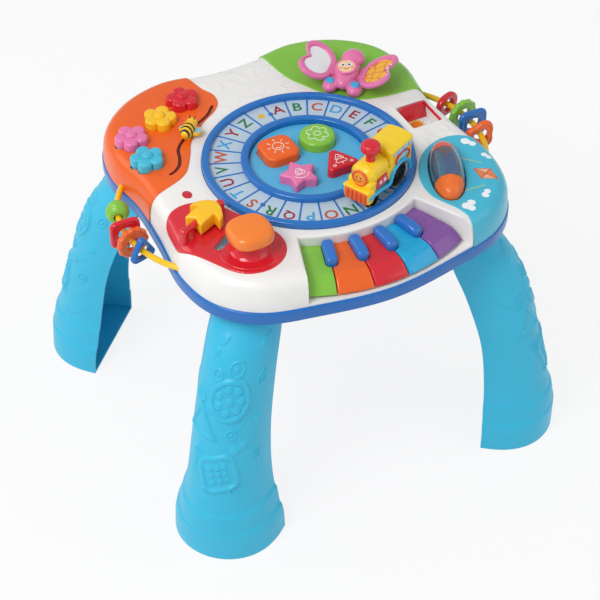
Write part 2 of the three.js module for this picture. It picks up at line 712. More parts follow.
function regionPrism(name, margin) {
  const clip = post(DIAL_RADIUS + DIAL_CLEARANCE - margin, TRAY_BOTTOM, DECK_LEVEL + OVERRUN + GAP, 54);
  return prism(insetOutline(REGIONS[name], -margin), RIM_BOTTOM, DECK_LEVEL + OVERRUN).subtract(clip);
}

const underDeck = deckBody(RIM_SETBACK + SKIN_DEPTH, SKIN_DEPTH);
const skinFloor = deckBody(RIM_SETBACK + SKIN_DEPTH - GAP, SKIN_DEPTH - GAP, RIM_BOTTOM);
const deckOuter = deckBody(RIM_SETBACK, 0);
const deckInner = deckBody(RIM_SETBACK + SKIN_DEPTH + SHELL_WALL, SKIN_DEPTH + SHELL_WALL, RIM_BOTTOM);
const skinOuter = deckBody(RIM_SETBACK - SKIN_PROUD, -SKIN_PROUD);

function skin(name) {
  return skinOuter.intersect(regionPrism(name, 0)).subtract(skinFloor);
}

// Side loops: rods on an arc, and the seats that their ends push into

function loopPoint(side, angle, radius = LOOP_RADIUS) {
  const [cx, cy] = plan(LOOP_CENTRE_SHARES);
  return [side * (cx + radius * Math.cos(angle)), cy + radius * Math.sin(angle)];
}

function loopTube(side, from, to, radius) {
  const points = Array.from({ length: LOOP_STEPS + 1 }, (_, i) => {
    const [x, y] = loopPoint(side, from + ((to - from) * i) / LOOP_STEPS);
    return new THREE.Vector3(x, y, 0);
  });
  const path = new THREE.CatmullRomCurve3(points);
  const section = shapeOf(circlePoints(radius, LOOP_SIDES));
  const options = { steps: LOOP_STEPS, extrudePath: path, bevelEnabled: false };
  return toSolid(new THREE.ExtrudeGeometry(section, options).translate(0, 0, DECK_LEVEL - LOOP_DROP));
}

const loopSeats = join([-1, 1].map((side) => {
  const from = LOOP_FRONT_ANGLE - LOOP_SEAT_ANGLE;
  const to = LOOP_BACK_ANGLE + LOOP_SEAT_ANGLE;
  return loopTube(side, from, to, LOOP_ROD_RADIUS + GAP);
}));

// Keyboard solids, drawn about the fan's centre with the fan pointing to -Y

function fanPoint(radius, degrees) {
  const angle = degrees * DEGREE - Math.PI / 2;
  return [radius * Math.cos(angle), FAN_CENTRE + radius * Math.sin(angle)];
}

function fanSector(inner, outer, from, to) {
  const steps = 6;
  const degrees = Array.from({ length: steps + 1 }, (_, i) => from + ((to - from) * i) / steps);
  const front = degrees.map((degree) => fanPoint(outer, degree));
  const back = [...degrees].reverse().map((degree) => fanPoint(inner, degree));
  return [...front, ...back];
}

const FAN_HALF_ANGLE = (KEY_COUNT * KEY_ANGLE) / 2;
const WELL_SIDE = WELL_MARGIN / KEY_BACK_RADIUS / DEGREE;

function wellSolid(margin, floor) {
  const side = FAN_HALF_ANGLE + WELL_SIDE + margin / KEY_BACK_RADIUS / DEGREE;
  const inner = KEY_BACK_RADIUS - GAP - margin;
  const outer = KEY_FRONT_RADIUS + OVERRUN;
  return prism(fanSector(inner, outer, -side, side), floor, DECK_LEVEL + OVERRUN);
}

function keyProfile(margin = 0) {
  const depth = KEY_FRONT_RADIUS - KEY_BACK_RADIUS;
  const height = KEY_BOTTOM_DROP - KEY_TOP_DROP;
  const bottom = DECK_LEVEL - KEY_BOTTOM_DROP;
  return KEY_PROFILE_SHARES.map(([run, fall]) => {
    return [KEY_BACK_RADIUS + margin + run * depth, bottom + (1 - fall) * height];
  });
}

const keyRevolve = placed(turned(keyProfile(), 64), 0, FAN_CENTRE, 0);

function smallKey(degrees, margin) {
  const top = DECK_LEVEL - SMALL_KEY_TOP_DROP;
  const bottom = DECK_LEVEL - KEY_BOTTOM_DROP;
  const points = SMALL_KEY_PROFILE_SHARES.map(([run, fall]) => {
    return [run * (SMALL_KEY_LENGTH + margin), bottom + (1 - fall) * (top - bottom + margin)];
  });
  const width = SMALL_KEY_WIDTH + 2 * margin;
  const options = {
    depth: width - 2 * SMALL_KEY_EDGE,
    bevelEnabled: true,
    bevelThickness: SMALL_KEY_EDGE,
    bevelSize: SMALL_KEY_EDGE / 2,
    bevelOffset: -SMALL_KEY_EDGE / 2,
    bevelSegments: 2,
  };
  const geometry = new THREE.ExtrudeGeometry(shapeOf(points), options);
  geometry.translate(KEY_BACK_RADIUS, 0, SMALL_KEY_EDGE - width / 2);
  geometry.rotateX(Math.PI / 2);
  return placed(toSolid(geometry), 0, FAN_CENTRE, 0, degrees * DEGREE - Math.PI / 2);
}

function smallKeyNotch(degrees) {
  const half = SMALL_KEY_WIDTH / 2 + KEY_SPLIT;
  const reach = SMALL_KEY_LENGTH + KEY_SPLIT;
  const points = roundedPolygon([
    [KEY_BACK_RADIUS - OVERRUN, -half],
    [KEY_BACK_RADIUS + reach, -half],
    [KEY_BACK_RADIUS + reach, half],
    [KEY_BACK_RADIUS - OVERRUN, half],
  ], SMALL_KEY_EDGE, 2);
  const notch = prism(points, RIM_BOTTOM, DECK_LEVEL + OVERRUN);
  return placed(notch, 0, FAN_CENTRE, 0, degrees * DEGREE - Math.PI / 2);
}

function smallKeyAngle(i) {
  return (i - (KEY_COUNT - 2) / 2) * KEY_ANGLE;
}

function keyAngle(i) {
  return (i - (KEY_COUNT - 1) / 2) * KEY_ANGLE;
}

const smallKeyNotches = Array.from({ length: KEY_COUNT - 1 }, (_, i) => smallKeyNotch(smallKeyAngle(i)));

function largeKey(i) {
  const half = KEY_ANGLE / 2 - KEY_SPLIT / 2 / KEY_FRONT_RADIUS / DEGREE;
  const [from, to] = [keyAngle(i) - half, keyAngle(i) + half];
  const sector = fanSector(KEY_BACK_RADIUS - OVERRUN, KEY_FRONT_RADIUS + OVERRUN, from, to);
  const blank = keyRevolve.intersect(prism(sector, RIM_BOTTOM, DECK_LEVEL));
  const beside = smallKeyNotches.filter((_, n) => n === i || n === i - 1);
  return beside.reduce((key, notch) => key.subtract(notch), blank);
}

// Roller: an elongated round form, given by a radius along its axis

function rollerProfile(length, radius, steps = 8) {
  return Array.from({ length: steps + 1 }, (_, i) => {
    const along = -1 + (2 * i) / steps;
    const eased = Math.sin((along * Math.PI) / 2);
    return [radius * Math.pow(Math.max(0, 1 - eased * eased), ROLLER_END_POWER), (eased * length) / 2];
  });
}

function rollerForm(length, radius, segments = 18) {
  const points = rollerProfile(length, radius).map(([r, z]) => new THREE.Vector2(r, z));
  points[0].x = 0;
  points[points.length - 1].x = 0;
  const geometry = new THREE.LatheGeometry(points, segments);
  return toSolid(geometry);
}

function onRollerAxis(solid) {
  const [x, y] = plan(ROLLER_PLACE_SHARES);
  return placed(solid, x, y, DECK_LEVEL + ROLLER_RISE, ROLLER_BEARING - Math.PI / 2);
}

const rollerBay = (() => {
  const half = ROLLER_LENGTH / 2 - ROLLER_RADIUS;
  const points = stadium([0, -half], [0, half], ROLLER_RADIUS + ROLLER_BAY_MARGIN, 9);
  return onRollerAxis(prism(points, -OVERRUN, OVERRUN));
})();

const rollerSaddles = onRollerAxis(join([-1, 1].map((end) => {
  const geometry = new THREE.CylinderGeometry(
    ROLLER_TRUNNION_RADIUS + GAP,
    ROLLER_TRUNNION_RADIUS + GAP,
    ROLLER_TRUNNION_LENGTH * 2,
    12,
  );
  return toSolid(geometry.translate(0, end * (ROLLER_LENGTH / 2 + ROLLER_TRUNNION_LENGTH), 0));
})));

// Recess for the flap

function recessSolid(margin, floor, top) {
  const [x, y] = plan(RECESS_PLACE_SHARES);
  const outline = rectangle(RECESS_WIDTH + 2 * margin, RECESS_LENGTH + 2 * margin);
  const points = roundedPolygon(outline, BUTTON_EDGE, 2);
  return placed(prism(points, floor, top), x, y, 0);
}

const RECESS_FLOOR = DECK_LEVEL - RECESS_DEPTH;

// Picture disc bay, window and knob bore

const [KNOB_X, KNOB_Y] = plan(PANEL_LOWER_SHARES);
const discBay = placed(
  post(PICTURE_DISC_RADIUS + RUNNING_GAP, RIM_BOTTOM, DECK_LEVEL - SKIN_DEPTH + GAP, 36),
  KNOB_X,
  KNOB_Y,
  0,
);
const WINDOW_X = KNOB_X + WINDOW_DISTANCE * Math.cos(WINDOW_BEARING);
const WINDOW_Y = KNOB_Y + WINDOW_DISTANCE * Math.sin(WINDOW_BEARING);

function windowSolid(margin, bottom, top) {
  const half = (WINDOW_LENGTH - WINDOW_WIDTH) / 2;
  const points = stadium([-half, 0], [half, 0], WINDOW_WIDTH / 2 + margin, 5);
  return placed(prism(points, bottom, top), WINDOW_X, WINDOW_Y, 0, WINDOW_BEARING - Math.PI / 2);
}

// Openings in the covers for the flower buttons and the slider's slot

function flowerHole(flower, margin, bottom, top) {
  const [x, y] = plan(flower.placeShares);
  return placed(prism(flowerPoints(FLOWER_RADIUS, flower.turn, margin), bottom, top), x, y, 0);
}

function stemHole(flower) {
  const [x, y] = plan(flower.placeShares);
  const hole = post(FLOWER_STEM_RADIUS + RUNNING_GAP, RIM_BOTTOM, DECK_LEVEL + OVERRUN, 14);
  return placed(hole, x, y, 0);
}

function flangePocket(flower) {
  const [x, y] = plan(flower.placeShares);
  const radius = FLOWER_STEM_RADIUS + FLOWER_FLANGE + RUNNING_GAP;
  return placed(post(radius, RIM_BOTTOM, DECK_UNDERSIDE, 14), x, y, 0);
}

const slotCut = (() => {
  const middle = splinePoints(SLOT_EDGE_SHARES.map(plan), 16, false);
  const sides = [1, -1].map((side) => middle.map(([x, y], i) => {
    const [ax, ay] = middle[Math.max(0, i - 1)];
    const [bx, by] = middle[Math.min(middle.length - 1, i + 1)];
    const length = Math.hypot(bx - ax, by - ay);
    const half = (side * SLOT_WIDTH) / 2;
    return [x - (half * (by - ay)) / length, y + (half * (bx - ax)) / length];
  }));
  return prism([...sides[0], ...sides[1].reverse()], RIM_BOTTOM, DECK_LEVEL + OVERRUN);
})();

const indicatorHole = (margin, bottom, top) => {
  const circle = circlePoints(INDICATOR_RADIUS + margin, 20);
  const points = circle.map(([x, y]) => [x, y * INDICATOR_LENGTH_SHARE]);
  const [x, y] = plan(INDICATOR_PLACE_SHARES);
  return placed(prism(points, bottom, top), x, y, 0);
};

// Tabletop shells

function topShell() {
  const regions = Object.keys(REGIONS).map((name) => regionPrism(name, GAP));
  const blank = regions.reduce((solid, region) => solid.subtract(region), deckOuter).add(underDeck);
  const tub = wellSolid(SHELL_WALL, RIM_LEVEL + GAP).intersect(blank);
  const recess = recessSolid(SHELL_WALL, RECESS_FLOOR - SHELL_WALL, DECK_UNDERSIDE + GAP);
  const seatOuter = DIAL_RADIUS + GAP + DIAL_SEAT_WIDTH;
  const seatInner = DIAL_RADIUS + GAP - DIAL_SEAT_WIDTH;
  const seatTop = DECK_LEVEL - DIAL_DEPTH - GAP;
  const seat = turned([
    [seatInner, seatTop - DIAL_SEAT_THICKNESS],
    [seatOuter, seatTop - DIAL_SEAT_THICKNESS],
    [seatOuter, DECK_UNDERSIDE + SHELL_WALL / 2],
    [seatInner, DECK_UNDERSIDE + SHELL_WALL / 2],
  ], DIAL_CELLS * 2);
  const shell = join([blank.subtract(deckInner), tub, recess, seat]);
  const cuts = [
    post(DIAL_RADIUS + GAP, seatTop, DECK_LEVEL + OVERRUN, DIAL_CELLS * 2),
    post(seatInner, RIM_BOTTOM, DECK_LEVEL, DIAL_CELLS * 2),
    wellSolid(0, DECK_LEVEL - WELL_FLOOR_DROP),
    recessSolid(0, RECESS_FLOOR, DECK_LEVEL + OVERRUN),
    discBay,
    rollerBay,
    rollerSaddles,
    slotCut,
    loopSeats,
    indicatorHole(GAP, RIM_BOTTOM, DECK_LEVEL + OVERRUN),
    ...FLOWERS.map(stemHole),
    ...FLOWERS.map(flangePocket),
  ];
  return cuts.reduce((solid, cut) => solid.subtract(cut), shell);
}

function orangeCover() {
  const holes = FLOWERS.map((flower) => flowerHole(flower, RUNNING_GAP, RIM_BOTTOM, DECK_LEVEL + OVERRUN));
  const cuts = [...holes, slotCut, loopSeats];
  return cuts.reduce((solid, cut) => solid.subtract(cut), skin('orange_cover'));
}

function aquaCover() {
  const cuts = [rollerBay, rollerSaddles, loopSeats, wellSolid(0, RIM_BOTTOM)];
  return cuts.reduce((solid, cut) => solid.subtract(cut), skin('aqua_cover'));
}

function redPanel() {
  const pedestalTop = COVER_LEVEL + PEDESTAL_HEIGHT;
  const cone = post(PEDESTAL_FOOT_RADIUS, DECK_LEVEL, pedestalTop, 24, PEDESTAL_TOP_RADIUS);
  const pedestal = placed(cone, KNOB_X, KNOB_Y, 0);
  const groove = turned([
    [PANEL_GROOVE_RADIUS, COVER_LEVEL - PANEL_GROOVE_DEPTH],
    [PANEL_GROOVE_RADIUS + PANEL_GROOVE_WIDTH, COVER_LEVEL - PANEL_GROOVE_DEPTH],
    [PANEL_GROOVE_RADIUS + PANEL_GROOVE_WIDTH, COVER_LEVEL + OVERRUN],
    [PANEL_GROOVE_RADIUS, COVER_LEVEL + OVERRUN],
  ], 30);
  const bore = post(KNOB_STEM_RADIUS + GAP, RIM_BOTTOM, DECK_LEVEL + OVERRUN, 16);
  let panel = skin('red_panel').subtract(placed(groove, KNOB_X, KNOB_Y, 0)).add(pedestal);
  panel = panel.add(shaftSolid());
  panel = panel.subtract(placed(bore, KNOB_X, KNOB_Y, 0));
  return panel.subtract(windowSolid(GAP, RIM_BOTTOM, DECK_LEVEL + OVERRUN)).subtract(loopSeats);
}

// Arrow slider and its shaft, drawn along +X and then turned to the shaft's bearing

function onShaft(solid) {
  const [x, y] = plan(SHAFT_START_SHARES);
  return placed(solid, x, y, 0, SHAFT_BEARING);
}

function alongX(radius, from, to, level, sides = 12) {
  const geometry = new THREE.CylinderGeometry(radius, radius, to - from, sides);
  geometry.rotateZ(Math.PI / 2);
  return toSolid(geometry.translate((from + to) / 2, 0, level));
}

function shaftSolid() {
  const level = COVER_LEVEL + SHAFT_HEIGHT;
  const posts = [0, SHAFT_LENGTH].map((x) => {
    const foot = placed(post(SHAFT_POST_RADIUS, RIM_LEVEL, level, 10), x, 0, 0);
    return foot.add(ball(SHAFT_POST_RADIUS, x, 0, level, [1, 1, 1], 10, 6));
  });
  const bar = alongX(SHAFT_RADIUS, 0, SHAFT_LENGTH, level);
  return onShaft(join([bar, ...posts])).subtract(skinFloor);
}

function arrowSlider() {
  const level = COVER_LEVEL + SHAFT_HEIGHT;
  const points = ARROW_OUTLINE_SHARES.map(([along, across]) => {
    const half = Math.abs(across) <= 0.5 ? ARROW_BODY_HALF_WIDTH * 2 : ARROW_BARB_HALF_WIDTH;
    return [ARROW_START + along * ARROW_LENGTH, across * half];
  });
  const blank = prism(points, level - ARROW_THICKNESS / 2, level + ARROW_THICKNESS / 2);
  const crown = new THREE.CylinderGeometry(ARROW_CROWN, ARROW_CROWN, ARROW_LENGTH + OVERRUN, 28);
  crown.rotateZ(Math.PI / 2);
  crown.scale(1, 1, ARROW_CROWN_HEIGHT / ARROW_CROWN);
  crown.translate(ARROW_START + ARROW_LENGTH / 2, 0, level);
  const bore = alongX(SHAFT_RADIUS + GAP, 0, SHAFT_LENGTH + ARROW_START, level);
  return onShaft(blank.intersect(toSolid(crown)).subtract(bore));
}

// Knob and picture disc

function orangeKnob() {
  const outline = circlePoints(1, 28).map(([x, y]) => {
    const sum = Math.pow(Math.abs(x), KNOB_SQUARENESS) + Math.pow(Math.abs(y), KNOB_SQUARENESS);
    const reach = KNOB_RADIUS * Math.pow(sum, -1 / KNOB_SQUARENESS);
    return [x * reach, y * reach];
  });
  const bottom = COVER_LEVEL + PEDESTAL_HEIGHT + KNOB_LIFT;
  const ring = (inset, level) => insetOutline(outline, inset).map(([x, y]) => [x, y, bottom + level]);
  const cap = loft([
    ring(KNOB_EDGE / 2, 0),
    ring(0, KNOB_EDGE / 2),
    ring(0, KNOB_HEIGHT - KNOB_EDGE),
    ring(KNOB_EDGE * KNOB_CROWN_SHARE, KNOB_HEIGHT - KNOB_EDGE * KNOB_CROWN_SHARE),
    ring(KNOB_EDGE, KNOB_HEIGHT),
  ]);
  const stemBottom = DECK_LEVEL - PICTURE_DISC_DROP - PICTURE_DISC_THICKNESS;
  const stem = post(KNOB_STEM_RADIUS, stemBottom, bottom + KNOB_EDGE, 16);
  const collar = post(KNOB_STEM_RADIUS * 2, bottom - KNOB_LIFT + GAP, bottom + KNOB_EDGE, 16);
  return placed(join([cap, stem, collar]), KNOB_X, KNOB_Y, 0);
}

function pictureDisc() {
  const top = DECK_LEVEL - PICTURE_DISC_DROP;
  const disc = post(PICTURE_DISC_RADIUS, top - PICTURE_DISC_THICKNESS, top, 36);
  const bore = post(KNOB_STEM_RADIUS + GAP, RIM_BOTTOM, DECK_LEVEL, 16);
  return placed(disc.subtract(bore), KNOB_X, KNOB_Y, 0);
}

function panelWindow() {
  const top = COVER_LEVEL - PANEL_GROOVE_DEPTH;
  return windowSolid(0, top - WINDOW_LENS_THICKNESS, top);
}

// Slider figure that runs along the curved slot

function slotSlider() {
  const bottom = COVER_LEVEL + GAP;
  const middle = bottom + SLIDER_FOOT + SLIDER_HEIGHT / 2 - GAP;
  const footShape = stadium([-SLIDER_LENGTH / 4, 0], [SLIDER_LENGTH / 4, 0], SLIDER_WIDTH / 3, 5);
  const foot = prism(footShape, bottom, bottom + SLIDER_HEIGHT / 2);
  const stretch = [SLIDER_LENGTH / SLIDER_WIDTH, 1, SLIDER_HEIGHT / SLIDER_WIDTH];
  const body = ball(SLIDER_WIDTH / 2, 0, 0, middle, stretch);
  const headPlace = (SLIDER_LENGTH - SLIDER_HEAD_RADIUS) / 2;
  const head = ball(SLIDER_HEAD_RADIUS, headPlace, 0, middle + GAP, [1, 1, 1], 10, 6);
  const wings = [-1, 1].map((side) => {
    const flat = SLIDER_FOOT / SLIDER_WING_WIDTH;
    const stretchWing = [SLIDER_WING_LENGTH / SLIDER_WING_WIDTH, 1, flat];
    return ball(SLIDER_WING_WIDTH, 0, side * SLIDER_WING_REACH, middle, stretchWing, 10, 5);
  });
  const [x, y] = plan(SLIDER_PLACE_SHARES);
  return placed(join([foot, body, head, ...wings]), x, y, 0, SLIDER_BEARING);
}

// Dial with its rims, cells and dividers

function dialRing() {
  const outer = DIAL_RADIUS;
  const outerInside = DIAL_RADIUS - DIAL_OUTER_RIM;
  const inner = CENTRE_DISC_RADIUS + GAP;
  const innerOutside = inner + DIAL_INNER_RIM;
  const bottom = TRACK_LEVEL - DIAL_DEPTH;
  const ledge = TRACK_LEVEL - CENTRE_DISC_DROP - CENTRE_DISC_THICKNESS - GAP;
  const rise = TRACK_LEVEL + DIAL_RIM_RISE;
  const side = TRACK_LEVEL + DIAL_RIM_RISE * DIAL_RIM_SIDE_SHARE;
  const rimSide = (from, to) => [
    [from, side],
    [from + (to - from) * DIAL_RIM_SLOPE_SHARE, rise],
    [to - (to - from) * DIAL_RIM_SLOPE_SHARE, rise],
    [to, side],
  ];
  const ring = turned([
    [inner - DIAL_LEDGE, bottom],
    [outer, bottom],
    ...rimSide(outer, outerInside),
    [outerInside, TRACK_LEVEL],
    [innerOutside, TRACK_LEVEL],
    ...rimSide(innerOutside, inner),
    [inner, ledge],
    [inner - DIAL_LEDGE, ledge],
  ], DIAL_CELLS * 2);
  const dividers = Array.from({ length: DIAL_CELLS }, (_, i) => {
    const length = outerInside - innerOutside + DIAL_PLATE;
    const bar = box(length, DIVIDER_WIDTH, DIVIDER_RISE * 2, (outerInside + innerOutside) / 2, 0, 0);
    return placed(bar, 0, 0, TRACK_LEVEL, Math.PI / 2 + (2 * Math.PI * i) / DIAL_CELLS);
  });
  const studs = DIAL_STUD_CELLS.map((cell) => {
    const angle = Math.PI / 2 + (2 * Math.PI * cell) / DIAL_CELLS;
    const radius = (outerInside + innerOutside) / 2;
    const studTop = TRACK_LEVEL + DIAL_STUD_RISE - RUNNING_GAP;
    const stud = post(DIAL_STUD_RADIUS, TRACK_LEVEL - DIAL_PLATE, studTop, 12);
    return placed(stud, radius * Math.cos(angle), radius * Math.sin(angle), 0);
  });
  return join([ring, ...dividers, ...studs]);
}

function centreDisc() {
  const top = TRACK_LEVEL - CENTRE_DISC_DROP;
  const disc = post(CENTRE_DISC_RADIUS, top - CENTRE_DISC_THICKNESS, top, DIAL_CELLS * 2);
  return SHAPE_BUTTONS.reduce((solid, button) => {
    const [x, y] = plan(button.placeShares);
    const hole = prism(button.outline(RUNNING_GAP), RIM_BOTTOM, DECK_LEVEL + OVERRUN);
    return solid.subtract(placed(hole, x, y, 0));
  }, disc);
}

function shapeButton(button) {
  const underside = TRACK_LEVEL - CENTRE_DISC_DROP - CENTRE_DISC_THICKNESS;
  const flangeTop = underside - GAP;
  const bottom = flangeTop - BUTTON_FLANGE_THICKNESS;
  const flange = prism(button.outline(RUNNING_GAP + BUTTON_FLANGE), bottom, flangeTop);
  const cap = crownedPrism(button.outline(0), bottom, TRACK_LEVEL + BUTTON_RISE, BUTTON_EDGE);
  const [x, y] = plan(button.placeShares);
  return placed(flange.add(cap), x, y, 0);
}

function flowerButton(flower) {
  const skirt = COVER_LEVEL - FLOWER_SKIRT_SINK;
  const top = COVER_LEVEL + FLOWER_RISE;
  const petals = crownedPrism(flowerPoints(FLOWER_RADIUS, flower.turn), skirt, top, BUTTON_EDGE);
  const domeRadius = FLOWER_RADIUS * FLOWER_DOME_SHARE;
  const dome = ball(domeRadius, 0, 0, top - GAP, [1, 1, FLOWER_DOME / domeRadius], 10, 6);
  const flangeTop = DECK_UNDERSIDE - GAP;
  const stem = post(FLOWER_STEM_RADIUS, flangeTop - BUTTON_FLANGE_THICKNESS, skirt + FLOWER_DOME, 14);
  const flangeRadius = FLOWER_STEM_RADIUS + FLOWER_FLANGE;
  const flange = post(flangeRadius, flangeTop - BUTTON_FLANGE_THICKNESS, flangeTop, 14);
  const [x, y] = plan(flower.placeShares);
  return placed(join([petals, dome, stem, flange]), x, y, 0);
}

// Roller pieces

function rollerBarrel() {
  const outer = rollerForm(ROLLER_LENGTH, ROLLER_RADIUS);
  const inner = rollerForm(ROLLER_LENGTH + GAP, ROLLER_RADIUS - ROLLER_WALL);
  const keep = ROLLER_LENGTH * (1 - 2 * ROLLER_CAP_SHARE) - 2 * GAP;
  const band = box(ROLLER_RADIUS * 3, keep, ROLLER_RADIUS * 3, 0, 0, 0);
  return onRollerAxis(outer.subtract(inner).intersect(band));
}

function rollerCaps() {
  const outer = rollerForm(ROLLER_LENGTH, ROLLER_RADIUS);
  const band = ROLLER_LENGTH * (1 - 2 * ROLLER_CAP_SHARE);
  const caps = outer.subtract(box(ROLLER_RADIUS * 3, band, ROLLER_RADIUS * 3, 0, 0, 0));
  const along = (radius, from, to, sides = 12) => {
    const geometry = new THREE.CylinderGeometry(radius, radius, to - from, sides);
    return toSolid(geometry.translate(0, (from + to) / 2, 0));
  };
  const spigotRadius = ROLLER_RADIUS * ROLLER_SPIGOT_SHARE;
  const spigots = [-1, 1].map((end) => {
    const from = (end * band) / 2 - ROLLER_TRUNNION_LENGTH / 2;
    return along(spigotRadius, from, from + ROLLER_TRUNNION_LENGTH, 20);
  });
  const reach = ROLLER_LENGTH / 2 + ROLLER_TRUNNION_LENGTH;
  const spindle = along(ROLLER_SPINDLE_RADIUS, -ROLLER_LENGTH / 2, ROLLER_LENGTH / 2);
  const between = along(ROLLER_RADIUS, -band / 2, band / 2);
  const trunnions = along(ROLLER_TRUNNION_RADIUS, -reach, reach).subtract(between);
  const vaneReach = ROLLER_RADIUS - ROLLER_WALL - 2 * RUNNING_GAP;
  const vanes = [0, 1, 2].map((i) => {
    const blade = box(vaneReach, band, ROLLER_VANE_THICKNESS, vaneReach / 2, 0, 0);
    return tilted(blade, new THREE.Vector3(0, 1, 0), (2 * Math.PI * i) / 3 + Math.PI / 6);
  });
  const inside = rollerForm(ROLLER_LENGTH, ROLLER_RADIUS - ROLLER_WALL - RUNNING_GAP);
  return onRollerAxis(join([caps, spindle, trunnions, join([...vanes, ...spigots]).intersect(inside)]));
}

// Flap in the recess, on a pin along its lower edge

function peekFlap() {
  const [x, y] = plan(RECESS_PLACE_SHARES);
  const width = RECESS_WIDTH - 2 * FLAP_SIDE_GAP;
  const height = RECESS_DEPTH - FLAP_PIN_RADIUS;
  const leaf = shapeOf([
    [-width / 2, 0],
    [width / 2, 0],
    [width / 2, height],
    [FLAP_CORNER - width / 2, height],
    [-width / 2, height - FLAP_CORNER],
  ]);
  const geometry = new THREE.ExtrudeGeometry(leaf, { depth: FLAP_THICKNESS, bevelEnabled: false });
  geometry.translate(0, 0, -FLAP_THICKNESS / 2).rotateX(Math.PI / 2);
  const pin = alongX(FLAP_PIN_RADIUS, GAP - RECESS_WIDTH / 2, RECESS_WIDTH / 2 - GAP, 0, 14);
  const flap = tilted(toSolid(geometry).add(pin), new THREE.Vector3(1, 0, 0), -FLAP_LEAN);
  const back = y + RECESS_LENGTH / 2 - FLAP_PIN_RADIUS - FLAP_LEAN * RECESS_DEPTH - FLAP_SIDE_GAP;
  return placed(flap, x, back, RECESS_FLOOR + FLAP_PIN_RADIUS + GAP);
}

// Winged figure: drawn with its length along +X, head towards the dial, then turned to its bearing

function onFigure(solid) {
  const x = FIGURE_DISTANCE * Math.cos(FIGURE_BEARING);
  const y = FIGURE_DISTANCE * Math.sin(FIGURE_BEARING);
  return placed(solid, x, y, COVER_LEVEL + GAP, FIGURE_BEARING);
}

function figureBody() {
  const torsoStretch = [
    FIGURE_HALF_LENGTH / FIGURE_HALF_WIDTH,
    1,
    (FIGURE_HEIGHT * TORSO_HEIGHT_SHARE) / FIGURE_HALF_WIDTH,
  ];
  const torso = ball(FIGURE_HALF_WIDTH, 0, 0, FIGURE_HEIGHT * TORSO_LEVEL_SHARE, torsoStretch);
  const headPlace = FIGURE_HALF_LENGTH * HEAD_ALONG_SHARE;
  const head = ball(FIGURE_HEAD_RADIUS, headPlace, 0, FIGURE_HEIGHT * HEAD_LEVEL_SHARE, HEAD_STRETCH_SHARES);
  const tailPlace = FIGURE_HALF_LENGTH * TAIL_ALONG_SHARE;
  const tail = ball(FIGURE_TAIL_RADIUS, tailPlace, 0, FIGURE_HEIGHT * TAIL_LEVEL_SHARE, TAIL_STRETCH_SHARES);
  const footLevel = FIGURE_FOOT_RADIUS * FOOT_LEVEL_SHARE;
  const feet = [-1, 1].map((side) => {
    const y = side * FIGURE_FOOT_SPREAD;
    return ball(FIGURE_FOOT_RADIUS, -FIGURE_FOOT_REACH, y, footLevel, FOOT_STRETCH_SHARES, 10, 6);
  });
  const hingeReach = WING_KNUCKLE_LENGTH / 2 + GAP + WING_LUG;
  const base = box(2 * hingeReach, 2 * FIGURE_HALF_WIDTH, WING_HINGE_HEIGHT, 0, 0, WING_HINGE_HEIGHT / 2);
  const lugWidth = 2 * (FIGURE_HALF_WIDTH + 2 * WING_KNUCKLE_RADIUS + GAP);
  const lugHeight = WING_HINGE_HEIGHT + WING_KNUCKLE_RADIUS;
  const lugs = [-1, 1].map((end) => {
    return box(WING_LUG, lugWidth, lugHeight, end * (hingeReach - WING_LUG / 2), 0, lugHeight / 2);
  });
  const body = join([torso, head, tail, ...feet, base, ...lugs]);
  const under = box(OVERRUN * OVERRUN, OVERRUN * OVERRUN, OVERRUN, 0, 0, -OVERRUN / 2);
  const clear = [-1, 1].flatMap((side) => [knuckleSpace(side), wingSpace(side, hingeReach)]);
  return onFigure(clear.reduce((solid, cut) => solid.subtract(cut), body.subtract(under)));
}

function hingeOffset(side) {
  return side * (FIGURE_HALF_WIDTH + GAP + WING_KNUCKLE_RADIUS);
}

function knuckleSpace(side) {
  const half = WING_KNUCKLE_LENGTH / 2 + GAP;
  const space = alongX(WING_KNUCKLE_RADIUS + GAP, -half, half, WING_HINGE_HEIGHT);
  return placed(space, 0, hingeOffset(side), 0);
}

// The space that a wing passes through above its hinge, ahead of and behind the lugs
function wingSpace(side, hingeReach) {
  const y = hingeOffset(side) + (side * OVERRUN) / 2;
  const level = WING_HINGE_HEIGHT + OVERRUN - WING_KNUCKLE_RADIUS;
  const space = box(WING_SPAN * 2, OVERRUN, OVERRUN * 2, 0, y, level);
  return space.subtract(box(2 * hingeReach, OVERRUN * 3, OVERRUN * 3, 0, 0, 0));
}

function wing(side, windowed) {
  const knots = WING_OUTLINE_SHARES.map(([p, q]) => [p * WING_SPAN, q * WING_DEPTH]);
  const outline = splinePoints(knots, 30, true);
  const middle = WING_DEPTH * WING_MIDDLE_SHARE;
  const windowPoints = outline.map(([x, y]) => {
    return [x * WING_WINDOW_SHARE, middle + (y - middle) * WING_WINDOW_SHARE];
  });
  const top = WING_THICKNESS / 2;
  if (windowed) {
    const pane = prism(insetOutline(windowPoints, RUNNING_GAP), top - WING_WINDOW_DEPTH + GAP, top - GAP);
    return hinged(pane, side);
  }
  const plate = crownedPrism(outline, -top, top, BUTTON_EDGE / 2);
  const gapLength = WING_KNUCKLE_LENGTH + 2 * (GAP + WING_LUG + RUNNING_GAP);
  const hingeGap = box(gapLength, WING_LUG * 4, OVERRUN, 0, 0, 0);
  const knuckle = alongX(WING_KNUCKLE_RADIUS, -WING_KNUCKLE_LENGTH / 2, WING_KNUCKLE_LENGTH / 2, 0);
  const armDepth = WING_LUG * 2 + BUTTON_EDGE;
  const arm = box(WING_KNUCKLE_LENGTH, armDepth, WING_THICKNESS - 2 * GAP, 0, armDepth / 2, 0);
  const pocket = prism(windowPoints, top - WING_WINDOW_DEPTH, top + OVERRUN);
  return hinged(join([plate.subtract(hingeGap), arm, knuckle]).subtract(pocket), side);
}

